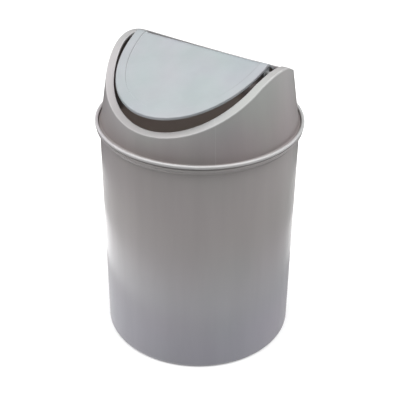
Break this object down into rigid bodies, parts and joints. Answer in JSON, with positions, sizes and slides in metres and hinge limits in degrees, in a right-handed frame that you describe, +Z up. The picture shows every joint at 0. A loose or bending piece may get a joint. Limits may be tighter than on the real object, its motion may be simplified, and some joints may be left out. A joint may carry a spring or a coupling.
{
  "type": "countertop trash can with swing lid",
  "caption": "Small round plastic bin: a straight bucket with a rolled rim, a lift-off hood with a sloping mouth, and a gabled lid that swings on a hinge at its ridge.",
  "frame": {"origin": "centre of the ring that the bucket stands on, on the floor", "axes": "+Z up along the bucket's axis, X along the lid's ridge and hinge, -Y towards the front, where the lid's raised edge is"},
  "size_m": [0.152, 0.152, 0.2309],
  "materials": {
    "bucket_plastic": "satin moulded plastic in a warm silver grey",
    "hood_plastic": "satin moulded plastic in a warm silver grey",
    "lid_plastic": "satin moulded plastic in a pale silver grey",
    "pin_plastic": "plain grey plastic"
  },
  "bodies": {
    "bucket": {"bucket": "bucket_plastic"},
    "hood": {"hood": "hood_plastic"},
    "lid": {"swing_lid": "lid_plastic", "hinge_pin_left": "pin_plastic", "hinge_pin_right": "pin_plastic"}
  },
  "joints": [
    {"name": "hood_lift", "type": "slide", "parent": "bucket", "child": "hood", "axis": [0, 0, 1], "range_m": [0, 0.06]},
    {"name": "lid_swing", "type": "hinge", "parent": "hood", "child": "lid", "pos_m": [0, 0, 0.2243], "axis": [1, 0, 0], "range_deg": [-79.5, 100.5]}
  ]
}
